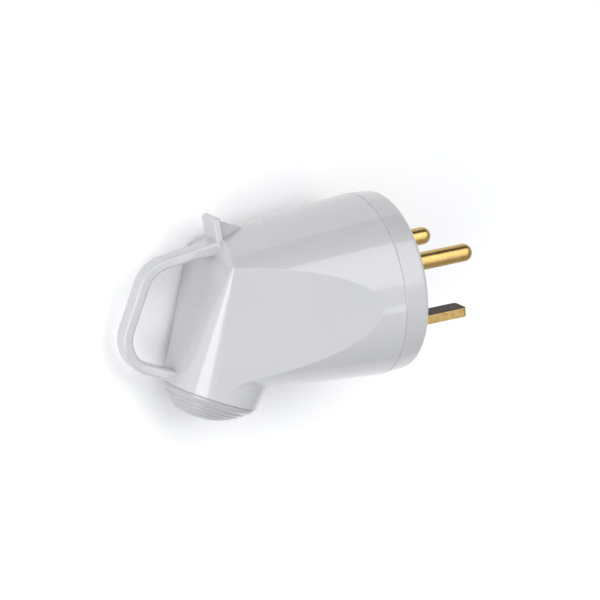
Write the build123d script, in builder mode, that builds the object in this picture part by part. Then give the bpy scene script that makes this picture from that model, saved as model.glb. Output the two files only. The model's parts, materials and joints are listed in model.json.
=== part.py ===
"""Round three-pin industrial plug with a pull handle, a finger guard and an oblique cable neck.

The pieces are drawn in the plug's own axes, in millimetres. The origin is the middle of the
front face, +X runs out along the pins, +Y to one side and +Z up to the finger guard. The body
narrows towards the back between two flat sides, and the plug lies on one of them. At the end
every piece is turned together, so that this flat side lies on the ground plane.
"""

import os
from math import atan2, cos, hypot, radians, sin, tan

from build123d import *

# Front face and barrel
face_radius = 30.0
rim_flare = 0.6
cap_depth = 8.8
cap_edge_round = 1.7
barrel_taper = 5.3
barrel_length = 64.5
barrel_bulge = 0.5
wall = 2.4
fit_gap = 0.2

# Flat sides
side_angle = 15.5
side_start = 16.5
side_start_inset = 0.4

# Cable neck
neck_tilt = 25.0
neck_behind_barrel = 2.7
neck_below_barrel = 1.0
neck_depth = 31.9
neck_rise_past_roof = 5.4
neck_corner_start = 43.0
neck_end_roundness = 0.96
neck_top_back_round = 0.7
neck_top_front_round = 12.0
neck_crease_round = 4.0
neck_side_overcut = 0.02

# Pins
pin_circle_radius = 16.0
line_pin_angle = 30.0
line_pin_diameter = 6.0
line_pin_length = 25.3
line_pin_tip_flat = 0.05
line_pin_shank_diameter = 5.0
contact_start = 0.4
pin_flange_diameter = 9.6
pin_flange_thickness = 2.0
terminal_diameter = 8.0
terminal_length = 13.0
earth_pin_width = 7.8
earth_pin_thickness = 3.0
earth_pin_length = 28.4
earth_pin_tip_round = 1.3
earth_shoulder_width = 11.0
earth_terminal_height = 7.0
wire_bore_diameter = 3.6
wire_bore_depth = 10.0
pin_gap = 0.1

# Pin carrier and the plate behind the pins
carrier_thickness = 4.0
spigot_length = 5.0
spigot_wall = 2.0
plate_room = 3.5
plate_thickness = 3.0
plate_post_diameter = 7.0
plate_gap = 0.3

# Screws
screw_diameter = 3.4
screw_gap = 0.1
screw_head_diameter = 6.4
screw_head_height = 2.2
screw_slot_width = 0.8
screw_slot_depth = 1.0
screw_end_room = 0.4
terminal_screw_tip_room = 0.4
terminal_screw_from_end = 4.0
terminal_seat_cut = 0.5
plate_screw_angle = 30.0
plate_screw_bite = 1.8
cover_screw_tip_room = 0.2
cover_screw_boss_inset = 0.7
cover_head_diameter = 7.0
cover_head_height = 2.0
clamp_screw_length = 13.0

# Bosses and threaded inserts in the shell
boss_diameter = 8.4
cover_boss_length = 14.0
insert_diameter = 5.2
insert_length = 8.0
insert_recess = 0.4
insert_gap = 0.05

# Cable clamp
clamp_from_back = 11.5
clamp_above_neck_end = 14.0
clamp_screw_spacing = 22.0
clamp_thickness = 4.0
clamp_height = 8.0
clamp_end_margin = 3.8
cable_diameter = 11.0
clamp_boss_diameter = 7.0

# Pull handle
strap_width = 6.2
strap_thickness = 3.7
strap_round = 1.2
grip_distance = 36.2
lower_arm_height = 2.6
upper_arm_below_roof = 2.6
upper_arm_slope = 7.0
handle_bend = 10.6
arm_root_width = 9.4
arm_root_height = 5.0
arm_root_length = 9.0
lower_root_width = 7.0
lower_root_height = 4.2
lower_root_length = 4.0
arm_embed = 1.2

# Finger guard
guard_half_width = 4.8
guard_above_roof = 7.5
guard_from_back = 2.3
guard_lean = 5.4
guard_thickness = 2.6
guard_edge_round = 0.9
gusset_length = 11.2

# Ringed cable cap: how far each step's foot and shoulder stand in from the neck's outline, and
# how far its shoulder lies from the neck
cap_steps = [(0.4, 2.6, 2.4), (3.1, 3.7, 4.0), (5.1, 5.6, 5.4), (7.4, 7.9, 6.7), (10.2, 10.6, 7.7)]
cap_step_round = 0.5
cap_wall = 1.6
cap_spigot_length = 4.5

# Sealing ring in a groove round the carrier's collar
seal_from_rim = 1.6
seal_width = 1.8
seal_depth = 1.1
seal_edge_round = 0.4

# Edge breaks along the seams
seam_chamfer = 0.25

# Cutting blocks reach past the whole plug, and hollows past the faces that they open
cutter_size = 260.0
overcut = 1.0

# Where along the plug its resting point lies
rest_x = -40.0

parts_folder = "parts"

# Sizes that follow from the ones above
seam_radius = face_radius + rim_flare
barrel_back_radius = seam_radius - barrel_taper
side_start_half_width = seam_radius - side_start_inset
neck_end_x = -barrel_length - neck_behind_barrel
neck_end_z = -barrel_back_radius - neck_below_barrel
neck_length = (barrel_back_radius + neck_rise_past_roof - neck_end_z) / cos(radians(neck_tilt))
upper_arm_z = barrel_back_radius - upper_arm_below_roof
guard_top_z = barrel_back_radius + guard_above_roof
guard_back_x = -barrel_length + guard_from_back
guard_apex_x = guard_back_x + gusset_length
clamp_x = -barrel_length + clamp_from_back
clamp_z = neck_end_z + clamp_above_neck_end


def barrel_radius(x):
    """Straight-line radius of the barrel at x, without its slight bulge."""
    share = (-x - cap_depth) / (barrel_length - cap_depth)
    return seam_radius + share * (barrel_back_radius - seam_radius)


def side_half_width(x):
    """Half the distance between the two flat sides at x."""
    return side_start_half_width + (x + side_start) * tan(radians(side_angle))


def neck_plane(along):
    """Plane across the neck, by its distance past the neck's end; its x axis points back."""
    tilt = radians(neck_tilt)
    out = Vector(-sin(tilt), 0, -cos(tilt))
    back = Vector(-cos(tilt), 0, sin(tilt))
    return Plane(Vector(neck_end_x, 0, neck_end_z) + out * along, x_dir=back, z_dir=out)


def neck_outline(along, inset, back_round=None, front_round=None):
    """Section of the neck between the two flat sides, with rounded back and front corners.

    Without radii the corners are as round as the flat sides and the neck's depth allow.
    """
    plane = neck_plane(along)
    back = neck_depth / 2 - inset
    front = -back
    side_inset = inset / cos(radians(side_angle)) - neck_side_overcut
    back_width = side_half_width(plane.from_local_coords((back, 0, 0)).X) - side_inset
    front_width = side_half_width(plane.from_local_coords((front, 0, 0)).X) - side_inset
    lean = atan2(front_width - back_width, 2 * back)
    back_full = back_width * cos(lean) / (1 - sin(lean))
    front_full = front_width * cos(lean) / (1 + sin(lean))
    with BuildSketch(plane) as outline:
        with BuildLine():
            Polyline(
                (back, back_width),
                (front, front_width),
                (front, -front_width),
                (back, -back_width),
                close=True,
            )
        make_face()
        back_corners = outline.vertices().sort_by(Axis.X)[-2:]
        fillet(back_corners, back_round or neck_end_roundness * min(back_full, back))
        front_corners = outline.vertices().sort_by(Axis.X)[:2]
        fillet(front_corners, front_round or neck_end_roundness * min(front_full, back))
    return outline.sketch


def body_form(inset, reach):
    """The body as one solid: the barrel cut by the flat sides, and the neck that leaves it.

    An inset of nothing gives the outside, and the wall's thickness gives the hollow inside.
    Reach lengthens the form past the seam and past the neck's end.
    """
    back_x = neck_end_x - neck_depth / 2
    with BuildPart() as barrel:
        with BuildSketch(Plane.XZ):
            with BuildLine():
                front = (-cap_depth + reach, barrel_radius(-cap_depth + reach) - inset)
                back = (back_x, barrel_radius(back_x) - inset)
                SagittaArc(front, back, -barrel_bulge)
                Polyline(back, (back_x, 0), (-cap_depth + reach, 0), front)
            make_face()
        revolve(axis=Axis.X)

    with BuildPart() as neck:
        add(neck_outline(-neck_length, inset, neck_top_back_round, neck_top_front_round))
        add(neck_outline(-neck_corner_start, inset, neck_top_back_round, neck_top_front_round))
        add(neck_outline(reach, inset))
        loft(ruled=True)

    with BuildPart() as below:
        with BuildSketch(Plane.XY):
            Rectangle(cutter_size, cutter_size)
        extrude(amount=-cutter_size)

    with BuildPart() as front_half:
        with BuildSketch(neck_plane(0).rotated((0, -90, 0))):
            Rectangle(cutter_size, cutter_size)
        extrude(amount=cutter_size)

    with BuildPart() as slab:
        with BuildSketch(Plane.XY):
            side_inset = inset / cos(radians(side_angle))
            front_width = side_half_width(0) - side_inset
            back_width = side_half_width(back_x) - side_inset
            with BuildLine():
                Polyline(
                    (0, front_width),
                    (back_x, back_width),
                    (back_x, -back_width),
                    (0, -front_width),
                    close=True,
                )
            make_face()
        extrude(amount=cutter_size, both=True)

    with BuildPart() as limit:
        add(barrel.part)
        add(below.part)

    with BuildPart() as rear:
        add(neck.part)
        add(limit.part, mode=Mode.INTERSECT)

    with BuildPart() as form:
        add(barrel.part)
        add(front_half.part, mode=Mode.INTERSECT)
        add(rear.part)
        add(slab.part, mode=Mode.INTERSECT)
    return form.part


def neck_crease(form):
    """Edges where the neck's front leaves the barrel's underside, clear of the flat sides."""
    found = []
    for edge in form.edges():
        middle = edge @ 0.5
        from_barrel = abs(hypot(middle.Y, middle.Z) - barrel_radius(middle.X))
        from_side = side_half_width(middle.X) - abs(middle.Y)
        under_rear = middle.Z < 0 and middle.X < -barrel_length / 2
        if under_rear and from_barrel < 2 * barrel_bulge and from_side > 2 * barrel_bulge:
            found.append(edge)
    return found


def across(x):
    """Plane across the pins at x, with its own axes along +Y and +Z."""
    return Plane((x, 0, 0), x_dir=(0, 1, 0), z_dir=(1, 0, 0))


def bar(front_x, back_x, place, diameter, mode=Mode.ADD):
    """Round bar or hole along the pins, in the open part, with its middle at (y, z)."""
    with BuildSketch(across(back_x)) as disc:
        with Locations(place):
            Circle(diameter / 2)
    extrude(disc.sketch, amount=front_x - back_x, mode=mode)


def cheese_screw(seat, length):
    """Slotted screw; the seat plane lies under its head, with its z axis towards the head."""
    with BuildPart() as screw:
        with BuildSketch(seat):
            Circle(screw_head_diameter / 2)
        extrude(amount=screw_head_height)
        with BuildSketch(seat):
            Circle(screw_diameter / 2)
        extrude(amount=-length)
        with BuildSketch(seat.offset(screw_head_height)):
            Rectangle(2 * screw_head_diameter, screw_slot_width)
        extrude(amount=-screw_slot_depth, mode=Mode.SUBTRACT)
    return screw.part


def rounded_arm(near_plane, far_plane, near_size, far_size):
    """Flared root of a handle arm, from a section in the wall to the strap's own section."""
    with BuildPart() as arm:
        with BuildSketch(near_plane):
            RectangleRounded(*near_size, strap_round)
        with BuildSketch(far_plane):
            RectangleRounded(*far_size, strap_round)
        loft(ruled=True)
    return arm.part


# Places that several pieces share
line_pin_side = pin_circle_radius * cos(radians(line_pin_angle))
line_pin_rise = pin_circle_radius * sin(radians(line_pin_angle))
line_pin_places = {"left": (-line_pin_side, line_pin_rise), "right": (line_pin_side, line_pin_rise)}
plate_screw_side = pin_circle_radius * cos(radians(plate_screw_angle))
plate_screw_drop = pin_circle_radius * sin(radians(plate_screw_angle))
earth_place = (0, -pin_circle_radius)
plate_screw_places = {
    "left": (-plate_screw_side, -plate_screw_drop),
    "right": (plate_screw_side, -plate_screw_drop),
}
clamp_screw_places = {
    "left": (-clamp_screw_spacing / 2, clamp_z),
    "right": (clamp_screw_spacing / 2, clamp_z),
}
flange_back_x = -carrier_thickness - pin_flange_thickness
plate_back_x = flange_back_x - plate_thickness
terminal_back_x = flange_back_x - terminal_length
spigot_back_x = -cap_depth - spigot_length
spigot_radius = barrel_radius(spigot_back_x) - wall - fit_gap
seal_front_x = -cap_depth - seal_from_rim
plate_radius = spigot_radius - spigot_wall - plate_room
plate_screw_length = plate_thickness + pin_flange_thickness + plate_screw_bite
cover_screw_offset = spigot_radius - boss_diameter / 2 - cover_screw_boss_inset
cover_screw_places = {"left": (-cover_screw_offset, 0), "right": (cover_screw_offset, 0)}
cover_screw_length = insert_recess + insert_length - cover_screw_tip_room - spigot_back_x
clamp_back_x = clamp_x - clamp_thickness / 2
screw_hole_diameter = screw_diameter + 2 * screw_gap

# Handle centre line in the plug's middle plane
tilt = radians(neck_tilt)
slope = tan(radians(upper_arm_slope))
grip_foot = neck_plane(0).from_local_coords((grip_distance, 0, 0))
back_foot = neck_plane(0).from_local_coords((neck_depth / 2, 0, 0))
root_x = back_foot.X + (upper_arm_z - back_foot.Z) * tan(tilt)
grip_run = (upper_arm_z - grip_foot.Z + (grip_foot.X - root_x) * slope) / (cos(tilt) - sin(tilt) * slope)
upper_corner = neck_plane(-grip_run).from_local_coords((grip_distance, 0, 0))
lower_corner = neck_plane(-lower_arm_height).from_local_coords((grip_distance, 0, 0))
upper_end = Vector(root_x + arm_embed, 0, upper_arm_z + arm_embed * slope)
lower_end = neck_plane(-lower_arm_height).from_local_coords((neck_depth / 2 - arm_embed, 0, 0))

with BuildLine() as handle_line:
    FilletPolyline(upper_end, upper_corner, lower_corner, lower_end, radius=handle_bend)
handle_path = handle_line.line


def strap_plane(point, direction):
    """Plane across the strap, with its x axis across the plug."""
    return Plane(point, x_dir=(0, 1, 0), z_dir=direction)


# Handle: one rounded strap, with a flared root at each end
with BuildPart() as handle:
    with BuildSketch(strap_plane(handle_path @ 0, handle_path % 0)):
        RectangleRounded(strap_width, strap_thickness, strap_round)
    sweep(path=handle_path)
    upper_way = (upper_corner - upper_end).normalized()
    add(
        rounded_arm(
            strap_plane(upper_end, upper_way),
            strap_plane(upper_end + upper_way * arm_root_length, upper_way),
            (arm_root_width, arm_root_height),
            (strap_width, strap_thickness),
        )
    )
    lower_way = (lower_corner - lower_end).normalized()
    add(
        rounded_arm(
            strap_plane(lower_end, lower_way),
            strap_plane(lower_end + lower_way * lower_root_length, lower_way),
            (lower_root_width, lower_root_height),
            (strap_width, strap_thickness),
        )
    )

# Finger guard: an upright rounded plate across the roof's back edge, with a gusset that runs
# forward to a point on the roof
guard_foot_z = upper_arm_z - arm_root_height / 2
guard_height = guard_top_z - guard_foot_z
guard_plane = Plane((guard_back_x, 0, guard_foot_z), x_dir=(0, 1, 0), z_dir=(1, 0, 0))
guard_plane = guard_plane.rotated((0, -guard_lean, 0))
with BuildPart() as guard:
    with BuildSketch(guard_plane):
        Rectangle(2 * guard_half_width, guard_height, align=(Align.CENTER, Align.MIN))
    extrude(amount=guard_thickness)
    fillet(guard.edges(), guard_edge_round)

with BuildPart() as gusset:
    with BuildSketch(guard_plane.offset(guard_thickness / 2)) as gusset_foot:
        Rectangle(
            2 * (guard_half_width - guard_edge_round / 2),
            guard_height - guard_edge_round / 2,
            align=(Align.CENTER, Align.MIN),
        )
    loft(sections=[gusset_foot.sketch.face(), Vertex(guard_apex_x, 0, barrel_radius(guard_apex_x))])

# Hollow inside the shell. Bosses for the two long screws and for the cable clamp stand in it, so
# they are cut out of it, and the holes in them are added to it again
with BuildPart() as hollow:
    add(body_form(wall, overcut))
    for place in cover_screw_places.values():
        insert_back_x = spigot_back_x - insert_recess - insert_length
        bar(spigot_back_x, spigot_back_x - cover_boss_length, place, boss_diameter, Mode.SUBTRACT)
        bar(spigot_back_x + overcut, insert_back_x, place, insert_diameter + 2 * insert_gap)
        bar(spigot_back_x + overcut, -cover_screw_length - screw_end_room, place, screw_hole_diameter)
    for place in clamp_screw_places.values():
        hole_back_x = clamp_x + clamp_thickness / 2 - clamp_screw_length - screw_end_room
        bar(clamp_back_x, neck_end_x - neck_depth / 2, place, clamp_boss_diameter, Mode.SUBTRACT)
        bar(clamp_back_x + overcut, hole_back_x, place, screw_hole_diameter)

# Shell: one hollow moulding with the neck, the handle and the finger guard
with BuildPart() as shell:
    add(body_form(0, 0))
    chamfer(shell.faces().filter_by(Plane.YZ).sort_by(Axis.X)[-1].edges(), seam_chamfer)
    add(guard.part)
    add(gusset.part)
    add(handle.part)
    add(hollow.part, mode=Mode.SUBTRACT)
    fillet(neck_crease(shell.part), neck_crease_round)

# Pin carrier: the round front, its rim and the collar that slides into the shell
with BuildPart() as pin_carrier:
    with BuildSketch(Plane.XZ):
        with BuildLine():
            Polyline(
                (0, 0),
                (0, face_radius),
                (-cap_depth, seam_radius),
                (-cap_depth, spigot_radius),
                (spigot_back_x, spigot_radius),
                (spigot_back_x, spigot_radius - spigot_wall),
                (-carrier_thickness, spigot_radius - spigot_wall),
                (-carrier_thickness, 0),
                close=True,
            )
        make_face()
    revolve(axis=Axis.X)
    fillet(pin_carrier.edges().filter_by(GeomType.CIRCLE).group_by(Axis.X)[-1], cap_edge_round)
    rim_edges = pin_carrier.edges().filter_by(GeomType.CIRCLE).sort_by(SortBy.RADIUS)
    chamfer(rim_edges[-1], seam_chamfer)
    with BuildSketch(across(seal_front_x)) as groove:
        Circle(seam_radius)
        Circle(spigot_radius - seal_depth, mode=Mode.SUBTRACT)
    extrude(groove.sketch, amount=-seal_width, mode=Mode.SUBTRACT)
    for place in cover_screw_places.values():
        bar(-carrier_thickness, spigot_back_x, place, boss_diameter)
        bar(0, spigot_back_x, place, screw_hole_diameter, Mode.SUBTRACT)
    for place in plate_screw_places.values():
        bar(-carrier_thickness, flange_back_x, place, plate_post_diameter)
        screw_tip_x = plate_back_x + plate_screw_length
        bar(screw_tip_x + screw_end_room, flange_back_x, place, screw_hole_diameter, Mode.SUBTRACT)
    for place in line_pin_places.values():
        bar(0, -carrier_thickness, place, line_pin_diameter + 2 * pin_gap, Mode.SUBTRACT)
    with BuildSketch(across(0)):
        with Locations(earth_place):
            Rectangle(earth_pin_width + 2 * pin_gap, earth_pin_thickness + 2 * pin_gap)
    extrude(amount=-carrier_thickness, mode=Mode.SUBTRACT)
    with Locations(across(0)):
        with Locations(*cover_screw_places.values()):
            CounterSinkHole(screw_hole_diameter / 2, cover_head_diameter / 2 + screw_gap, cap_depth)


def terminal_hole(place, top):
    """Cross hole for the wire's screw, from the terminal's flat top down into its wire bore."""
    hole_plane = Plane((terminal_back_x + terminal_screw_from_end, place[0], top))
    with BuildSketch(hole_plane) as thread_hole:
        Circle(screw_hole_diameter / 2)
    extrude(thread_hole.sketch, amount=place[1] - top, mode=Mode.SUBTRACT)
    with BuildSketch(hole_plane) as seat:
        Circle(screw_head_diameter / 2 + fit_gap)
    extrude(seat.sketch, amount=terminal_seat_cut + fit_gap, mode=Mode.SUBTRACT)


def line_pin(place):
    """Round contact pin with a domed tip, a flange behind the carrier and a bored terminal."""
    with BuildPart() as pin:
        bar(line_pin_length, contact_start, place, line_pin_diameter)
        fillet(pin.edges().group_by(Axis.X)[-1], line_pin_diameter / 2 - line_pin_tip_flat)
        bar(contact_start, -carrier_thickness, place, line_pin_shank_diameter)
        bar(-carrier_thickness, flange_back_x, place, pin_flange_diameter)
        bar(flange_back_x, terminal_back_x, place, terminal_diameter)
        bar(terminal_back_x + wire_bore_depth, terminal_back_x, place, wire_bore_diameter, Mode.SUBTRACT)
        terminal_hole(place, place[1] + terminal_diameter / 2 - terminal_seat_cut)
    return pin.part


# Earth pin: a flat blade with a shoulder and a square terminal
with BuildPart() as earth_pin:
    with BuildSketch(across(-carrier_thickness)):
        with Locations(earth_place):
            Rectangle(earth_pin_width, earth_pin_thickness)
    extrude(amount=carrier_thickness + earth_pin_length)
    tip = earth_pin.faces().sort_by(Axis.X)[-1]
    fillet(tip.edges().filter_by(Axis.Z), earth_pin_tip_round)
    with BuildSketch(across(flange_back_x)):
        with Locations(earth_place):
            Rectangle(earth_shoulder_width, earth_terminal_height)
    extrude(amount=pin_flange_thickness)
    with BuildSketch(across(terminal_back_x)):
        with Locations(earth_place):
            Rectangle(earth_pin_width, earth_terminal_height)
    extrude(amount=terminal_length)
    bar(terminal_back_x + wire_bore_depth, terminal_back_x, earth_place, wire_bore_diameter, Mode.SUBTRACT)
    terminal_hole(earth_place, earth_place[1] + earth_terminal_height / 2 - terminal_seat_cut)

# Sealing ring between the carrier's collar and the shell
with BuildPart() as sealing_ring:
    with BuildSketch(across(seal_front_x)):
        Circle(spigot_radius + fit_gap / 2)
        Circle(spigot_radius - seal_depth, mode=Mode.SUBTRACT)
    extrude(amount=-seal_width)
    outer_edges = sealing_ring.edges().filter_by(GeomType.CIRCLE).sort_by(SortBy.RADIUS)[-2:]
    fillet(outer_edges, seal_edge_round)

# Plate that traps the pins' flanges against the carrier
with BuildPart() as pin_plate:
    with BuildSketch(across(plate_back_x)):
        Circle(plate_radius)
        with Locations(*line_pin_places.values()):
            Circle(terminal_diameter / 2 + plate_gap, mode=Mode.SUBTRACT)
        with Locations(earth_place):
            earth_hole = (earth_pin_width + 2 * plate_gap, earth_terminal_height + 2 * plate_gap)
            Rectangle(*earth_hole, mode=Mode.SUBTRACT)
        with Locations(*plate_screw_places.values()):
            Circle(screw_hole_diameter / 2, mode=Mode.SUBTRACT)
        with Locations(*cover_screw_places.values()):
            Circle(boss_diameter / 2 + plate_gap, mode=Mode.SUBTRACT)
    extrude(amount=plate_thickness)


def cover_screw(place):
    """Long countersunk screw that draws the shell onto the pin carrier."""
    head_plane = Plane((0, *place), x_dir=(0, 1, 0), z_dir=(1, 0, 0))
    with BuildPart() as screw:
        bar(0, -cover_screw_length, place, screw_diameter)
        with BuildSketch(head_plane):
            Circle(cover_head_diameter / 2)
        with BuildSketch(head_plane.offset(-cover_head_height)):
            Circle(screw_diameter / 2)
        loft()
        with BuildSketch(head_plane):
            Rectangle(2 * cover_head_diameter, screw_slot_width)
        extrude(amount=-screw_slot_depth, mode=Mode.SUBTRACT)
    return screw.part


def threaded_insert(place):
    """Brass insert pressed into a shell boss, which the long screw is driven into."""
    front_x = spigot_back_x - insert_recess
    with BuildPart() as insert:
        bar(front_x, front_x - insert_length, place, insert_diameter)
        bar(front_x, front_x - insert_length, place, screw_hole_diameter, Mode.SUBTRACT)
    return insert.part


# Clamp bar across the neck, hollowed where the cable passes behind it
with BuildPart() as cable_clamp:
    with BuildSketch(across(clamp_back_x)):
        with Locations((0, clamp_z)):
            RectangleRounded(clamp_screw_spacing + 2 * clamp_end_margin, clamp_height, clamp_end_margin)
        with Locations(*clamp_screw_places.values()):
            Circle(screw_hole_diameter / 2, mode=Mode.SUBTRACT)
    extrude(amount=clamp_thickness)
    with BuildSketch(neck_plane(0)):
        Circle(cable_diameter / 2)
    extrude(amount=-neck_length, mode=Mode.SUBTRACT)


def cap_step(foot_inset, shoulder_inset, height, edge_round):
    """One step of the cap: the neck's outline drawn in, leaning in further to its shoulder."""
    foot = neck_outline(0, foot_inset)
    shoulder = neck_outline(height, shoulder_inset)
    with BuildPart() as step:
        add(foot)
        add(shoulder)
        loft(ruled=True)
        if edge_round:
            neck_axis = Axis((neck_end_x, 0, neck_end_z), neck_plane(0).z_dir)
            fillet(step.faces().sort_by(neck_axis)[-1].edges(), edge_round)
    return step.part


# Cable cap: a soft stepped dome that is cut open at the ring that fits the cable
with BuildPart() as cable_cap:
    for foot_inset, shoulder_inset, height in cap_steps:
        add(cap_step(foot_inset, shoulder_inset, height, cap_step_round))
    add(cap_step(wall + fit_gap, wall + fit_gap, -cap_spigot_length, 0))
    bore_inset = wall + fit_gap + cap_wall
    for foot_inset, shoulder_inset, height in cap_steps:
        hollow_foot = max(foot_inset + cap_wall, bore_inset)
        hollow_shoulder = max(shoulder_inset + cap_wall, bore_inset)
        add(cap_step(hollow_foot, hollow_shoulder, height - cap_wall, 0), mode=Mode.SUBTRACT)
    add(cap_step(bore_inset, bore_inset, -cap_spigot_length, 0), mode=Mode.SUBTRACT)

pieces = {
    "shell": shell.part,
    "pin_carrier": pin_carrier.part,
    "earth_pin": earth_pin.part,
    "sealing_ring": sealing_ring.part,
    "pin_plate": pin_plate.part,
    "cable_clamp": cable_clamp.part,
    "cable_cap": cable_cap.part,
}
for side, place in line_pin_places.items():
    pieces[f"line_pin_{side}"] = line_pin(place)
terminal_tops = {
    "left": (line_pin_places["left"], line_pin_places["left"][1] + terminal_diameter / 2),
    "right": (line_pin_places["right"], line_pin_places["right"][1] + terminal_diameter / 2),
    "earth": (earth_place, earth_place[1] + earth_terminal_height / 2),
}
for name, (place, top) in terminal_tops.items():
    seat = Plane((terminal_back_x + terminal_screw_from_end, place[0], top - terminal_seat_cut))
    screw_length = seat.origin.Z - place[1] - terminal_screw_tip_room
    pieces[f"terminal_screw_{name}"] = cheese_screw(seat, screw_length)
for side, place in plate_screw_places.items():
    seat = Plane((plate_back_x, *place), x_dir=(0, 1, 0), z_dir=(-1, 0, 0))
    pieces[f"plate_screw_{side}"] = cheese_screw(seat, plate_screw_length)
for side, place in cover_screw_places.items():
    pieces[f"cover_screw_{side}"] = cover_screw(place)
    pieces[f"threaded_insert_{side}"] = threaded_insert(place)
for side, place in clamp_screw_places.items():
    seat = Plane((clamp_x + clamp_thickness / 2, *place), x_dir=(0, 1, 0), z_dir=(1, 0, 0))
    pieces[f"clamp_screw_{side}"] = cheese_screw(seat, clamp_screw_length)

# The plug lies on its right flat side: the ground plane holds that side, and +X still points
# along the pins when seen from above
lean = radians(side_angle)
rest_plane = Plane(
    (rest_x, side_half_width(rest_x), 0),
    x_dir=(cos(lean), sin(lean), 0),
    z_dir=(sin(lean), -cos(lean), 0),
)
os.makedirs(parts_folder, exist_ok=True)
for name, piece in pieces.items():
    lying = rest_plane.to_local_coords(piece)
    lying.label = name
    export_step(lying, f"{parts_folder}/{name}.step")
    size = lying.bounding_box().size
    print(f"{name}: {len(lying.solids())} solid, {size.X:.1f} x {size.Y:.1f} x {size.Z:.1f} mm")
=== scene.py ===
# %% [markdown]
# # An industrial plug, dressed for its picture
#
# The plug was drawn first as real pieces, at real size. This script loads those pieces as a fixed
# frame, gives each one its finish, and adds the fine forms that suit a mesh better than a solid.
# The scene is in metres, and the plug's own places are given in millimetres first. The plug lies on
# one of its two flat sides, on the ground plane z = 0.

import json
import math

import bmesh
import bpy
from mathutils import Matrix, Vector


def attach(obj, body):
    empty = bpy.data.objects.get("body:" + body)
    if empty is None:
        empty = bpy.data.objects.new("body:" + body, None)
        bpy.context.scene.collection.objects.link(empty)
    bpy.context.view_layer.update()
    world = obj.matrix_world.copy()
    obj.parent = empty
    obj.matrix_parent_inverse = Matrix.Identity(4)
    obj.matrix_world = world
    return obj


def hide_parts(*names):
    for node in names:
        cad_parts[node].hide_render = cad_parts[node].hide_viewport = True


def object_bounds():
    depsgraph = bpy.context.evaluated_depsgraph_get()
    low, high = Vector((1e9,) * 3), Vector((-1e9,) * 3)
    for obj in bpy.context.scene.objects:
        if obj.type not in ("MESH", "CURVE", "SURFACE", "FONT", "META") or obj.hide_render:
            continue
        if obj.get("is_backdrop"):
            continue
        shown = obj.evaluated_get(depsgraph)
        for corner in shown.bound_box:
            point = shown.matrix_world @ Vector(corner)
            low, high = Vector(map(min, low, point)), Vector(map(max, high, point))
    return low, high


millimetre = 0.001
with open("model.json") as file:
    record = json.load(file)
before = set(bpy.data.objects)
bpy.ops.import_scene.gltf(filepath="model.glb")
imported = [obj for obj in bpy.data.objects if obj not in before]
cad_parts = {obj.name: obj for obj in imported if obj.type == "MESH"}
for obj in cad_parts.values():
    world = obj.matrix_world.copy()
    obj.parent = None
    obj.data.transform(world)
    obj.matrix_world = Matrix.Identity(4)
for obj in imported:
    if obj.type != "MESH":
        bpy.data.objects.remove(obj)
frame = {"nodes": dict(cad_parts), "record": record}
nodes = frame["nodes"]
cad_low, cad_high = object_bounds()
plug_middle = (cad_low + cad_high) / 2
print("pieces loaded:", len(nodes))
print("size in mm:", [round(side / millimetre) for side in cad_high - cad_low])

# %% [markdown]
# ## The plug's own directions
#
# The body's two flat sides lean towards each other at the back, so the plug lies with its pins
# raised. It helps to name the plug's own three directions once, and to give every later place along
# them: along the pins, across the body, and up towards the finger guard. The places are counted
# from the middle of the front face.

# %% Directions of the plug as it lies
side_angle = math.radians(15.5)
side_start = 16.5
side_start_half_width = 30.2
rest_distance = 40.0
pins_way = Vector((math.cos(side_angle), 0, math.sin(side_angle)))
side_way = Vector((math.sin(side_angle), 0, -math.cos(side_angle)))
guard_way = Vector((0, 1, 0))


def flat_half_width(along):
    """Half of the width between the flat sides, in millimetres; along is negative behind the face."""
    return side_start_half_width + (along + side_start) * math.tan(side_angle)


rest_half_width = flat_half_width(-rest_distance)
face_middle = (pins_way * rest_distance - side_way * rest_half_width) * millimetre


def plug_direction(along, across, up):
    """Direction of the lying plug, from its parts in the plug's own directions."""
    return pins_way * along + side_way * across + guard_way * up


def in_plug(along, across, up):
    """Point of the lying plug, from millimetres in the plug's own directions."""
    return face_middle + plug_direction(along, across, up) * millimetre


print("front face middle:", [round(value / millimetre, 1) for value in face_middle], "mm")

# %% [markdown]
# ## Camera
#
# The picture was taken from behind the plug's left shoulder with a long lens. A long lens keeps the
# barrel's edges nearly parallel, so the camera stands a metre away with a narrow view. The turn,
# the rise and the roll are given in the plug's own directions, as someone holding the plug upright
# would see it. Because the plug lies down, the same camera ends up looking down at the table.

# %% Camera at the picture's angle
view_turn = math.radians(28.03)
view_rise = math.radians(15.92)
view_roll = math.radians(3.35)
view_distance = 1.0
lens_length = 180.0
sensor_width = 36.0
face_right_of_centre = 0.0284
face_above_centre = 0.0070

towards_camera = plug_direction(
    -math.sin(view_turn) * math.cos(view_rise),
    -math.cos(view_turn) * math.cos(view_rise),
    math.sin(view_rise),
)
level_right = plug_direction(math.cos(view_turn), -math.sin(view_turn), 0)
level_up = plug_direction(
    math.sin(view_turn) * math.sin(view_rise),
    math.cos(view_turn) * math.sin(view_rise),
    math.cos(view_rise),
)
picture_right = level_right * math.cos(view_roll) - level_up * math.sin(view_roll)
picture_up = level_right * math.sin(view_roll) + level_up * math.cos(view_roll)
picture_centre = face_middle - picture_right * face_right_of_centre - picture_up * face_above_centre

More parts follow.
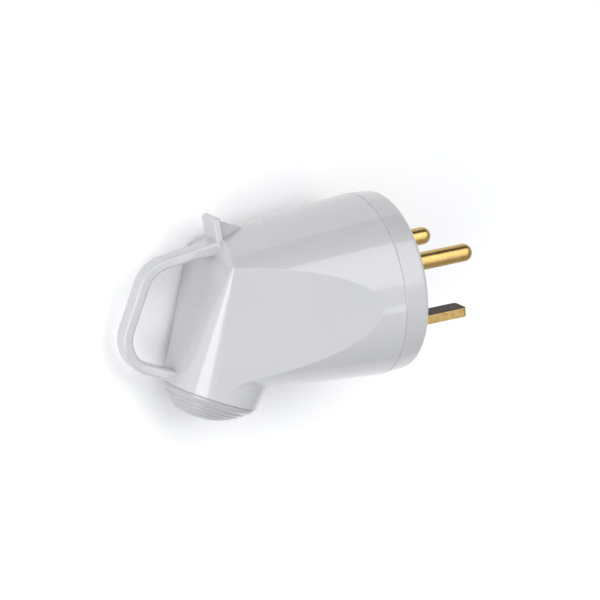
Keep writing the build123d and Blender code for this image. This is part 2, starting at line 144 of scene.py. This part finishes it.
camera_data = bpy.data.cameras.new("picture camera")
camera_data.lens = lens_length
camera_data.sensor_width = sensor_width
camera_data.clip_start = 0.05
camera_data.clip_end = 20.0
camera = bpy.data.objects.new("picture camera", camera_data)
bpy.context.scene.collection.objects.link(camera)
camera_place = face_middle + towards_camera * view_distance
camera_back = (camera_place - picture_centre).normalized()
camera_right = picture_up.cross(camera_back).normalized()
camera_up = camera_back.cross(camera_right)
camera_turn = Matrix((camera_right, camera_up, camera_back)).transposed()
camera.matrix_world = Matrix.Translation(camera_place) @ camera_turn.to_4x4()
bpy.context.scene.camera = camera
print("camera looks down by", round(math.degrees(math.asin(towards_camera.z))), "degrees")

# %% [markdown]
# ## Floor
#
# A product picture on white needs an even, pale surround. The floor is a sheet of pale paper, set a
# hair under the plug, and the sky around it is a cool, even white.

# %% Surround and floor
scene = bpy.context.scene
scene.view_settings.view_transform = "Standard"
scene.view_settings.look = "None"

world = bpy.data.worlds.new("studio surround")
scene.world = world
world.use_nodes = True
surround = world.node_tree.nodes["Background"]
surround.inputs["Color"].default_value = (0.96, 0.97, 1.0, 1)
surround.inputs["Strength"].default_value = 0.62


def flat_sheet(name, corners, stuff, tone, roughness):
    """Flat sheet of the studio, of a stuff in one grey tone."""
    mesh = bpy.data.meshes.new(name)
    mesh.from_pydata(corners, [], [(0, 1, 2, 3)])
    sheet = bpy.data.objects.new(name, mesh)
    scene.collection.objects.link(sheet)
    material = bpy.data.materials.new(stuff)
    material.use_nodes = True
    shader = material.node_tree.nodes["Principled BSDF"]
    shader.inputs["Base Color"].default_value = (tone, tone, tone, 1)
    shader.inputs["Roughness"].default_value = roughness
    mesh.materials.append(material)
    return sheet


floor_drop = 0.0001
floor_half = 3.0
square = [(-1, -1), (1, -1), (1, 1), (-1, 1)]
floor_corners = [(x * floor_half, y * floor_half, -floor_drop) for x, y in square]
floor = flat_sheet("floor", floor_corners, "pale paper", tone=0.97, roughness=0.9)
floor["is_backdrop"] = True
print("floor width in m:", 2 * floor_half)

# %% [markdown]
# ## Lights
#
# Glossy plastic and brass show the lights themselves, so the size and place of a light matter more
# than its strength. The key light at the upper right gives the wide, soft sheen along the barrel.
# The window on the left gives the bright band down the body's rounded rear corner, and the strip on
# the right helps to draw the bright line along the pins. All three stand upright in the picture.

# %% Soft lights
key_place = towards_camera * 0.68 + picture_up * 0.42 + picture_right * 0.56
key_size = (1.20, 1.00)
key_power = 7.2
window_place = towards_camera * 0.82 - picture_right * 0.34 - picture_up * 0.20
window_size = (0.50, 0.80)
window_power = 4.8
strip_place = towards_camera * 0.44 + picture_right * 0.75 - picture_up * 0.26
strip_size = (0.15, 0.45)
strip_power = 0.50


def soft_light(name, place, size, power):
    """Rectangular soft light that points at the middle of the plug, upright in the picture."""
    data = bpy.data.lights.new(name, "AREA")
    data.shape = "RECTANGLE"
    data.size, data.size_y = size
    data.energy = power
    light = bpy.data.objects.new(name, data)
    scene.collection.objects.link(light)
    out = place.normalized()
    across = picture_up.cross(out).normalized()
    light_turn = Matrix((across, out.cross(across), out)).transposed().to_4x4()
    light.matrix_world = Matrix.Translation(plug_middle + place) @ light_turn
    return light


soft_light("key light", key_place, key_size, key_power)
soft_light("left window", window_place, window_size, window_power)
soft_light("right strip", strip_place, strip_size, strip_power)

# %% [markdown]
# A white studio alone would leave bright metal without a dark line. A dark card stands beyond the
# plug, out of the camera's own view. It darkens the roof of the body a little, and the pins show it
# as a thin dark line near their upper edge.

# %% Dark card
card_distance = 0.32
card_half_width = 0.30
card_lift = 0.03
card_height = 0.22
card_middle = Vector((plug_middle.x, plug_middle.y, 0))
card_way = Vector((picture_up.x, picture_up.y, 0)).normalized()
card_side = Vector((-card_way.y, card_way.x, 0))
card_foot = card_middle + card_way * card_distance
card_corners = [
    card_foot + card_side * (across * card_half_width) + Vector((0, 0, card_lift + up * card_height))
    for across, up in [(-1, 0), (1, 0), (1, 1), (-1, 1)]
]
card = flat_sheet("dark card", card_corners, "dark felt", tone=0.02, roughness=1.0)
card.visible_camera = False
card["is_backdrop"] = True
print("card stands", card_distance, "m away")

# %% [markdown]
# ## Helpers for node trees
#
# A finish is a small network of nodes. Three helpers keep the network readable: one adds a node and
# wires its inputs in the same line, one mixes two colours, and one starts a reusable group with
# named sockets.

# %% Node helpers
def add_node(tree, kind, inputs=None, **settings):
    """Adds a node to the tree; inputs maps a socket to a value or to another node's output."""
    made = tree.nodes.new(kind)
    for name, value in settings.items():
        setattr(made, name, value)
    for socket, value in (inputs or {}).items():
        if isinstance(value, bpy.types.NodeSocket):
            tree.links.new(value, made.inputs[socket])
        else:
            made.inputs[socket].default_value = value
    return made


def mixed(tree, share, first, second):
    """Output with a colour between two others, by a share from 0 to 1."""
    blend = add_node(tree, "ShaderNodeMix", {0: share, 6: first, 7: second}, data_type="RGBA")
    return blend.outputs[2]


def new_group(name, inputs, outputs):
    """Shader group with number sockets and a soft normal; returns the tree, its input and its output."""
    tree = bpy.data.node_groups.new(name, "ShaderNodeTree")
    for socket, start in inputs.items():
        made = tree.interface.new_socket(socket, in_out="INPUT", socket_type="NodeSocketFloat")
        made.default_value = start
    for socket in outputs:
        tree.interface.new_socket(socket, in_out="OUTPUT", socket_type="NodeSocketFloat")
    tree.interface.new_socket("Soft normal", in_out="OUTPUT", socket_type="NodeSocketVector")
    return tree, tree.nodes.new("NodeGroupInput"), tree.nodes.new("NodeGroupOutput")


print("node helpers ready")

# %% [markdown]
# ## Moulded skin
#
# Moulded plastic is never quite even. The melt leaves wide, faint clouds, the polished mould leaves
# a fine skin, and handling leaves hair-thin scuffs. No moulded edge is truly sharp either, so light
# that meets an edge should turn round it. This could be painted on pictures, but noise needs no
# unwrapping and stays fine from close by. All the plastic and rubber pieces share the effect, so it
# is one group. It gives three masks and a softened normal, and each material decides what they change.

# %% Shader group for moulded skin
skin, skin_in, skin_out = new_group(
    "moulded skin",
    {"Cloud scale": 45.0, "Skin scale": 1500.0, "Scuff scale": 260.0, "Edge radius": 0.0006},
    ["Clouds", "Skin", "Scuffs"],
)
skin_place = add_node(skin, "ShaderNodeTexCoord").outputs["Object"]
clouds = add_node(
    skin,
    "ShaderNodeTexNoise",
    {"Vector": skin_place, "Scale": skin_in.outputs["Cloud scale"], "Detail": 3.0, "Roughness": 0.45},
)
fine_skin = add_node(
    skin,
    "ShaderNodeTexNoise",
    {"Vector": skin_place, "Scale": skin_in.outputs["Skin scale"], "Detail": 2.0, "Roughness": 0.5},
)
drawn_out = add_node(
    skin,
    "ShaderNodeMapping",
    {"Vector": skin_place, "Rotation": (0.5, 0.35, 0.9), "Scale": (0.12, 1.6, 1.6)},
)
streaks = add_node(
    skin,
    "ShaderNodeTexNoise",
    {"Vector": drawn_out.outputs["Vector"], "Scale": skin_in.outputs["Scuff scale"], "Detail": 4.0},
)
few_streaks = add_node(
    skin,
    "ShaderNodeMapRange",
    {"Value": streaks.outputs["Fac"], "From Min": 0.66, "From Max": 0.78},
)
soft_edge = add_node(skin, "ShaderNodeBevel", {"Radius": skin_in.outputs["Edge radius"]}, samples=8)
skin.links.new(soft_edge.outputs["Normal"], skin_out.inputs["Soft normal"])
skin.links.new(clouds.outputs["Fac"], skin_out.inputs["Clouds"])
skin.links.new(fine_skin.outputs["Fac"], skin_out.inputs["Skin"])
skin.links.new(few_streaks.outputs["Result"], skin_out.inputs["Scuffs"])
print("moulded skin nodes:", len(skin.nodes))

# %% [markdown]
# ## Plastics and rubber
#
# The shell and the front are glossy light grey. The cap is a softer, darker moulding with a shine of
# its own, and the plate and the clamp inside are plain matt insulation. They differ only in tone,
# gloss and grain, so one function makes all four. The polished surface is a clear coat over a duller
# plastic: the coat shows the window crisply, and the plastic spreads the rest of the light.

# %% How a moulded material is made
scuff_dulling = 0.12
coat_roughness = 0.07


def moulded(name, pale, deep, gloss, coat, scales, skin_depth):
    """Moulded material: two near tones, a roughness range, a clear coat and a fine skin."""
    material = bpy.data.materials.new(name)
    material.use_nodes = True
    tree = material.node_tree
    shader = tree.nodes["Principled BSDF"]
    effect = add_node(tree, "ShaderNodeGroup", node_tree=skin)
    for socket, value in zip(("Cloud scale", "Skin scale", "Scuff scale"), scales):
        effect.inputs[socket].default_value = value
    tone = mixed(tree, effect.outputs["Clouds"], (*deep, 1), (*pale, 1))
    even_gloss = add_node(
        tree,
        "ShaderNodeMapRange",
        {"Value": effect.outputs["Clouds"], "To Min": gloss[0], "To Max": gloss[1]},
    )
    worn_gloss = add_node(
        tree,
        "ShaderNodeMath",
        {0: effect.outputs["Scuffs"], 1: scuff_dulling, 2: even_gloss.outputs["Result"]},
        operation="MULTIPLY_ADD",
    )
    bump = add_node(
        tree,
        "ShaderNodeBump",
        {
            "Height": effect.outputs["Skin"],
            "Normal": effect.outputs["Soft normal"],
            "Strength": 1.0,
            "Distance": skin_depth,
        },
    )
    tree.links.new(tone, shader.inputs["Base Color"])
    tree.links.new(worn_gloss.outputs["Value"], shader.inputs["Roughness"])
    tree.links.new(bump.outputs["Normal"], shader.inputs["Normal"])
    shader.inputs["Coat Weight"].default_value = coat
    shader.inputs["Coat Roughness"].default_value = coat_roughness
    return material


print("scuffs dull the gloss by", scuff_dulling)

# %% The four moulded materials
shell_plastic = moulded(
    "glossy grey shell",
    pale=(0.47, 0.47, 0.482),
    deep=(0.44, 0.44, 0.452),
    gloss=(0.29, 0.37),
    coat=0.80,
    scales=(38.0, 1400.0, 240.0),
    skin_depth=0.000004,
)
carrier_plastic = moulded(
    "glossy grey front",
    pale=(0.465, 0.465, 0.477),
    deep=(0.435, 0.435, 0.447),
    gloss=(0.29, 0.37),
    coat=0.80,
    scales=(45.0, 1400.0, 260.0),
    skin_depth=0.000004,
)
cap_rubber = moulded(
    "soft grey cap",
    pale=(0.385, 0.385, 0.395),
    deep=(0.345, 0.345, 0.355),
    gloss=(0.29, 0.38),
    coat=0.9,
    scales=(90.0, 2200.0, 320.0),
    skin_depth=0.000008,
)
inner_plastic = moulded(
    "matt grey insulation",
    pale=(0.36, 0.36, 0.36),
    deep=(0.30, 0.30, 0.30),
    gloss=(0.55, 0.70),
    coat=0.0,
    scales=(60.0, 1800.0, 200.0),
    skin_depth=0.000010,
)
print("moulded materials made")

# %% [markdown]
# ## Metals
#
# The brass pins are turned and polished, so their marks run round them. The blade and the screws
# carry marks of the same kind. Real grooves that fine would take millions of faces, so noise that
# is stretched across the pins stands in for them, as a change of gloss and a very low bump. The
# group gives these marks, a wide tarnish mask and a softened normal.

# %% Shader group for worked metal
worked, worked_in, worked_out = new_group(
    "worked metal",
    {"Mark scale": 3000.0, "Tarnish scale": 130.0, "Edge radius": 0.0003},
    ["Marks", "Tarnish"],
)
worked_place = add_node(worked, "ShaderNodeTexCoord").outputs["Object"]
along_pins = add_node(
    worked,
    "ShaderNodeMapping",
    {"Vector": worked_place, "Rotation": (0, side_angle, 0), "Scale": (1.0, 0.04, 0.04)},
)
marks = add_node(
    worked,
    "ShaderNodeTexNoise",
    {"Vector": along_pins.outputs["Vector"], "Scale": worked_in.outputs["Mark scale"], "Detail": 3.0},
)
tarnish = add_node(
    worked,
    "ShaderNodeTexNoise",
    {
        "Vector": worked_place,
        "Scale": worked_in.outputs["Tarnish scale"],
        "Detail": 4.0,
        "Roughness": 0.6,
    },
)
soft_rim = add_node(worked, "ShaderNodeBevel", {"Radius": worked_in.outputs["Edge radius"]}, samples=8)
worked.links.new(soft_rim.outputs["Normal"], worked_out.inputs["Soft normal"])
worked.links.new(marks.outputs["Fac"], worked_out.inputs["Marks"])
worked.links.new(tarnish.outputs["Fac"], worked_out.inputs["Tarnish"])
print("worked metal nodes:", len(worked.nodes))

# %% How a metal is made
def metal(name, bright, dull, gloss, mark_scale, tarnish_scale, mark_depth):
    """Metal: a bright and a dull tone, a roughness range, and marks left by the tool."""
    material = bpy.data.materials.new(name)
    material.use_nodes = True
    tree = material.node_tree
    shader = tree.nodes["Principled BSDF"]
    effect = add_node(tree, "ShaderNodeGroup", node_tree=worked)
    effect.inputs["Mark scale"].default_value = mark_scale
    effect.inputs["Tarnish scale"].default_value = tarnish_scale
    dulled = add_node(
        tree,
        "ShaderNodeMapRange",
        {"Value": effect.outputs["Tarnish"], "From Min": 0.35, "From Max": 0.75},
    )
    tone = mixed(tree, dulled.outputs["Result"], (*bright, 1), (*dull, 1))
    sheen = add_node(
        tree,
        "ShaderNodeMapRange",
        {"Value": effect.outputs["Marks"], "To Min": gloss[0], "To Max": gloss[1]},
    )
    bump = add_node(
        tree,
        "ShaderNodeBump",
        {
            "Height": effect.outputs["Marks"],
            "Normal": effect.outputs["Soft normal"],
            "Strength": 1.0,
            "Distance": mark_depth,
        },
    )
    tree.links.new(tone, shader.inputs["Base Color"])
    tree.links.new(sheen.outputs["Result"], shader.inputs["Roughness"])
    tree.links.new(bump.outputs["Normal"], shader.inputs["Normal"])
    shader.inputs["Metallic"].default_value = 1.0
    return material


brass = metal(
    "turned brass",
    bright=(0.60, 0.415, 0.155),
    dull=(0.44, 0.28, 0.09),
    gloss=(0.22, 0.36),
    mark_scale=2600.0,
    tarnish_scale=140.0,
    mark_depth=0.000003,
)
blade_brass = metal(
    "pressed brass",
    bright=(0.62, 0.43, 0.17),
    dull=(0.40, 0.26, 0.09),
    gloss=(0.36, 0.50),
    mark_scale=2600.0,
    tarnish_scale=700.0,
    mark_depth=0.000003,
)
steel = metal(
    "plated steel",
    bright=(0.66, 0.67, 0.69),
    dull=(0.50, 0.51, 0.53),
    gloss=(0.22, 0.38),
    mark_scale=3400.0,
    tarnish_scale=220.0,
    mark_depth=0.000003,
)
print("metals made")

# %% [markdown]
# The blade's two flat faces look nearly black, and its narrow faces are bare. The black is a dark
# reflection, so it is painted onto the flat faces as a near-black tone, broken in a few specks. The
# blade is one piece with one material, so a mask finds the flat faces by the way they look, instead of
# a second material on some faces.

# %% Painted dark reflection on the blade's flat faces
# Near-black tone and low shine, painted on the blade's flat faces in place of a dark reflection.
painted_reflection_tone = (0.028, 0.018, 0.013)
painted_reflection_shine = 0.1
speck_scale = 1500.0


def paint_reflection_on_flats(material, way):
    """Paints a dark reflection, broken by specks, on the faces that look along one direction, or against
    it.
    """
    tree = material.node_tree
    shader = tree.nodes["Principled BSDF"]
    bare_tone = shader.inputs["Base Color"].links[0].from_socket
    blade_place = add_node(tree, "ShaderNodeTexCoord").outputs
    along = add_node(
        tree,
        "ShaderNodeVectorMath",
        {0: blade_place["Normal"], 1: tuple(way)},
        operation="DOT_PRODUCT",
    )
    flat = add_node(tree, "ShaderNodeMath", {0: along.outputs["Value"]}, operation="ABSOLUTE")
    specks = add_node(
        tree,
        "ShaderNodeTexNoise",
        {"Vector": blade_place["Object"], "Scale": speck_scale, "Detail": 3.0},
    )
    reflection_unbroken = add_node(
        tree,
        "ShaderNodeMapRange",
        {"Value": specks.outputs["Fac"], "From Min": 0.74, "From Max": 0.64},
    )
    facing = add_node(
        tree,
        "ShaderNodeMapRange",
        {"Value": flat.outputs["Value"], "From Min": 0.75, "From Max": 0.95},
    )
    mask = add_node(
        tree,
        "ShaderNodeMath",
        {0: facing.outputs["Result"], 1: reflection_unbroken.outputs["Result"]},
        operation="MULTIPLY",
    )
    bare = add_node(tree, "ShaderNodeMath", {0: 1.0, 1: mask.outputs["Value"]}, operation="SUBTRACT")
    # Painted dark reflection: the flat faces take the near-black tone and lose their metal shine, except
    # in the specks.
    tone = mixed(tree, mask.outputs["Value"], bare_tone, (*painted_reflection_tone, 1))
    tree.links.new(tone, shader.inputs["Base Color"])
    tree.links.new(bare.outputs["Value"], shader.inputs["Metallic"])
    shader.inputs["Specular IOR Level"].default_value = painted_reflection_shine


paint_reflection_on_flats(blade_brass, guard_way)
print("painted dark reflection added to", blade_brass.name)

# %% [markdown]
# ## Giving each piece its finish
#
# The record names a material slot for every piece, so the finishes follow the slots. Only the blade
# has a finish of its own.

# %% Assign the finishes by slot
finishes = {
    "shell_plastic": shell_plastic,
    "carrier_plastic": carrier_plastic,
    "inner_plastic": inner_plastic,
    "cap_rubber": cap_rubber,
    "pin_brass": brass,
    "screw_steel": steel,
}
own_finishes = {"earth_pin": blade_brass}
for part in frame["record"]["subparts"]:
    mesh = nodes[part["node"]].data
    mesh.materials.clear()
    mesh.materials.append(own_finishes.get(part["node"], finishes[part["material_slot"]]))
print("finishes given to", len(nodes), "pieces")

# %% [markdown]
# ## The ringed cap
#
# The soft cap is a low dome of rounded steps, one ring inside the other, so that it can be cut open
# at the ring that fits the cable. Each ring could be drawn by hand and set on the last, but all of
# them follow one rule, so Geometry Nodes make them. A grid of points is laid round the neck's
# outline. Row by row it climbs the side of a ring and turns in over its top, by a quarter turn, and
# then starts the next ring. The grooves between the rings lie on a smooth dome. The number of rings
# and the dome's form stay named inputs of the tree.

# %% Helpers for sums inside a node tree
cap_tree = bpy.data.node_groups.new("ringed cap", "GeometryNodeTree")


def work(operation, *values):
    """Output of a Math node of the cap's tree that works on numbers and sockets."""
    inputs = dict(enumerate(values))
    return add_node(cap_tree, "ShaderNodeMath", inputs, operation=operation).outputs["Value"]


def choose(test, when_false, when_true):
    """Output of a Switch node of the cap's tree on two numbers."""
    inputs = {"Switch": test, "False": when_false, "True": when_true}
    return add_node(cap_tree, "GeometryNodeSwitch", inputs, input_type="FLOAT").outputs["Output"]


def between(near, far, share):
    """Output with a number some share of the way from one to another."""
    return work("MULTIPLY_ADD", work("SUBTRACT", far, near), share, near)


print("sum helpers ready")

# %% Named inputs of the cap's tree
cap_sockets = {
    "Back corner radius": "NodeSocketFloat",
    "Front corner radius": "NodeSocketFloat",
    "Dome height": "NodeSocketFloat",
    "Fullness": "NodeSocketFloat",
    "Lean": "NodeSocketFloat",
    "Spigot share": "NodeSocketFloat",
    "Spigot length": "NodeSocketFloat",
    "Rings": "NodeSocketInt",
    "Rows per ring": "NodeSocketInt",
    "Points round": "NodeSocketInt",
    "Finish": "NodeSocketMaterial",
}
cap_tree.interface.new_socket("Outline", in_out="INPUT", socket_type="NodeSocketGeometry")
for socket, kind in cap_sockets.items():
    cap_tree.interface.new_socket(socket, in_out="INPUT", socket_type=kind)
cap_tree.interface.new_socket("Cap", in_out="OUTPUT", socket_type="NodeSocketGeometry")
cap_in = cap_tree.nodes.new("NodeGroupInput").outputs
cap_out = cap_tree.nodes.new("NodeGroupOutput").inputs
print("cap inputs:", len(cap_sockets))

# %% [markdown]
# The outline comes in as four corners, the two at the back first. Its corners are rounded, and the
# grid's columns are spread round it. The first three rows make the spigot that sits in the neck: the
# middle of its end, its end's edge, and its edge under the dome. All the other rows make the rings.

# %% Rounded outline and grid
corner_steps = 40
spigot_rows = 3

corner_line = add_node(cap_tree, "GeometryNodeMeshToCurve", {"Mesh": cap_in["Outline"]})
corner_number = add_node(cap_tree, "GeometryNodeInputIndex").outputs["Index"]
is_back = work("LESS_THAN", corner_number, 1.5)
corner_radius = choose(is_back, cap_in["Front corner radius"], cap_in["Back corner radius"])
rounded_line = add_node(
    cap_tree,
    "GeometryNodeFilletCurve",
    {"Curve": corner_line.outputs["Curve"], "Count": corner_steps, "Radius": corner_radius},
    mode="POLY",
)
ring_rows = work("MULTIPLY", cap_in["Rings"], cap_in["Rows per ring"])
row_count = work("ADD", ring_rows, spigot_rows + 1)
grid = add_node(
    cap_tree,
    "GeometryNodeMeshGrid",
    {"Size X": 1.0, "Size Y": 1.0, "Vertices X": cap_in["Points round"], "Vertices Y": row_count},
)
grid_place = add_node(cap_tree, "GeometryNodeInputPosition").outputs["Position"]
grid_parts = add_node(cap_tree, "ShaderNodeSeparateXYZ", {"Vector": grid_place}).outputs
share_round = work("ADD", grid_parts["X"], 0.5)
share_in = work("ADD", grid_parts["Y"], 0.5)
row = work("ROUND", work("MULTIPLY", share_in, work("SUBTRACT", row_count, 1)))
on_outline = add_node(
    cap_tree,
    "GeometryNodeSampleCurve",
    {"Curves": rounded_line.outputs["Curve"], "Factor": share_round},
    mode="FACTOR",
    use_all_curves=True,
).outputs["Position"]
print("cap nodes so far:", len(cap_tree.nodes))

# %% [markdown]
# The outer rings are taller than the inner ones, so the grooves rise by a power of the ring's number
# that is less than one. The dome's fullness says how late it curves in.

# %% Form of the rings
early_rise = 0.66


def groove(ring):
    """Share of the dome's height, and of the outline's width, at the groove outside one ring."""
    rise = work("POWER", work("DIVIDE", ring, cap_in["Rings"]), early_rise)
    left_over = work("MAXIMUM", work("SUBTRACT", 1, rise), 0)
    width = work("POWER", left_over, work("DIVIDE", 1, cap_in["Fullness"]))
    return rise, width


rows_in = work("MAXIMUM", work("SUBTRACT", row, spigot_rows), 0)
rings_in = work("DIVIDE", rows_in, cap_in["Rows per ring"])
ring_number = work("MINIMUM", work("FLOOR", rings_in), work("SUBTRACT", cap_in["Rings"], 1))
quarter_turn = work("MULTIPLY", work("SUBTRACT", rings_in, ring_number), math.pi / 2)
outer_rise, outer_width = groove(ring_number)
inner_rise, inner_width = groove(work("ADD", ring_number, 1))
turned_in = work("SUBTRACT", 1, work("COSINE", quarter_turn))
dome_width = between(outer_width, inner_width, turned_in)
dome_rise = between(outer_rise, inner_rise, work("SINE", quarter_turn))
dome_height = work("MULTIPLY", dome_rise, cap_in["Dome height"])
print("cap nodes so far:", len(cap_tree.nodes))

# %% Places of the rows, and the finished cap
same_point = 0.00002

spigot_width = choose(work("LESS_THAN", row, 0.5), cap_in["Spigot share"], 0.0)
spigot_drop = work("MULTIPLY", cap_in["Spigot length"], -1)
spigot_height = choose(work("LESS_THAN", row, 1.5), 0.0, spigot_drop)
is_spigot = work("LESS_THAN", row, spigot_rows - 0.5)
width = choose(is_spigot, dome_width, spigot_width)
height = choose(is_spigot, dome_height, spigot_height)
leaned = work("MULTIPLY", work("MULTIPLY", cap_in["Lean"], work("MAXIMUM", height, 0)), dome_rise)
shrunk = add_node(cap_tree, "ShaderNodeVectorMath", {0: on_outline, "Scale": width}, operation="SCALE")
lift = add_node(cap_tree, "ShaderNodeCombineXYZ", {"X": leaned, "Z": height})
new_place = add_node(
    cap_tree,
    "ShaderNodeVectorMath",
    {0: shrunk.outputs["Vector"], 1: lift.outputs["Vector"]},
    operation="ADD",
)
placed = add_node(
    cap_tree,
    "GeometryNodeSetPosition",
    {"Geometry": grid.outputs["Mesh"], "Position": new_place.outputs["Vector"]},
)
closed = add_node(
    cap_tree,
    "GeometryNodeMergeByDistance",
    {"Geometry": placed.outputs["Geometry"], "Distance": same_point},
)
smooth = add_node(cap_tree, "GeometryNodeSetShadeSmooth", {"Geometry": closed.outputs["Geometry"]})
real = add_node(cap_tree, "GeometryNodeRealizeInstances", {"Geometry": smooth.outputs["Geometry"]})
finished = add_node(
    cap_tree,
    "GeometryNodeSetMaterial",
    {"Geometry": real.outputs["Geometry"], "Material": cap_in["Finish"]},
)
cap_tree.links.new(finished.outputs["Geometry"], cap_out["Cap"])
print("ringed cap nodes:", len(cap_tree.nodes))

# %% [markdown]
# The cap follows the end of the neck: two leaning sides, a narrower back and a wider front, with
# corners so round that little is left between them. Its sizes here are the neck's own.

# %% Outline of the neck's end
neck_tilt = math.radians(25)
neck_end = (-67.2, -26.3)
neck_half_depth = 15.95
cap_inset = 0.4


def cap_half_width(back):
    """Half width of the cap's outline, in millimetres, at a distance behind the neck's middle."""
    along = neck_end[0] - back * math.cos(neck_tilt)
    return flat_half_width(along) - cap_inset / math.cos(side_angle)


cap_back = neck_half_depth - cap_inset
outline_corners = [
    (back * millimetre, side * cap_half_width(back) * millimetre, 0)
    for back, side in [(cap_back, 1), (cap_back, -1), (-cap_back, -1), (-cap_back, 1)]
]
outline_mesh = bpy.data.meshes.new("neck outline")
outline_mesh.from_pydata(outline_corners, [(0, 1), (1, 2), (2, 3), (3, 0)], [])
outline = bpy.data.objects.new("neck outline", outline_mesh)
scene.collection.objects.link(outline)
print("neck outline depth in mm:", round(2 * cap_back, 1))

# %% [markdown]
# The tree runs on the outline, and its result is kept as a plain mesh. The outline itself isn't part
# of the plug, so it goes again.

# %% Make the cap
def baked(thing, tree, values, name):
    """Plain mesh from a node tree run on an object; its inputs are set by their sockets' identifiers."""
    maker = thing.modifiers.new(tree.name, "NODES")
    maker.node_group = tree
    for socket in tree.interface.items_tree:
        if socket.name in values:
            maker[socket.identifier] = values[socket.name]
    seen = thing.evaluated_get(bpy.context.evaluated_depsgraph_get())
    mesh = bpy.data.meshes.new_from_object(seen)
    mesh.name = name
    thing.modifiers.remove(maker)
    return mesh


cap_values = {
    "Back corner radius": 0.0145,
    "Front corner radius": 0.0147,
    "Dome height": 0.0083,
    "Fullness": 2.5,
    "Lean": 0.30,
    "Spigot share": 0.80,
    "Spigot length": 0.0045,
    "Rings": 6,
    "Rows per ring": 8,
    "Points round": 145,
    "Finish": cap_rubber,
}
cap_mesh = baked(outline, cap_tree, cap_values, "ringed_cap")
bpy.data.objects.remove(outline)
shape = bmesh.new()
shape.from_mesh(cap_mesh)
bmesh.ops.recalc_face_normals(shape, faces=shape.faces)
open_edges = sum(not edge.is_manifold for edge in shape.edges)
shape.to_mesh(cap_mesh)
shape.free()
print("cap faces:", len(cap_mesh.polygons), "open edges:", open_edges)

# %% Set the cap on the neck
back_way = plug_direction(-math.cos(neck_tilt), 0, math.sin(neck_tilt))
out_way = plug_direction(-math.sin(neck_tilt), 0, -math.cos(neck_tilt))
across_way = out_way.cross(back_way)
cap_turn = Matrix((back_way, across_way, out_way)).transposed().to_4x4()
cap_mesh.transform(Matrix.Translation(in_plug(neck_end[0], 0, neck_end[1])) @ cap_turn)
cap = bpy.data.objects.new("ringed_cap", cap_mesh)
scene.collection.objects.link(cap)
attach(cap, "root")
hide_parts("cable_cap")
print("cap set on the neck")

# %% [markdown]
# ## Sizes
#
# The dressed plug is meant to stay inside the box of its solids, so the largest overhang of its box past
# theirs is printed.

# %% Largest overhang past the solids' box
dressed_low, dressed_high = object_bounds()
overhang = max(max(cad_low - dressed_low), max(dressed_high - cad_high))
print("largest overhang in mm:", round(overhang / millimetre, 3))
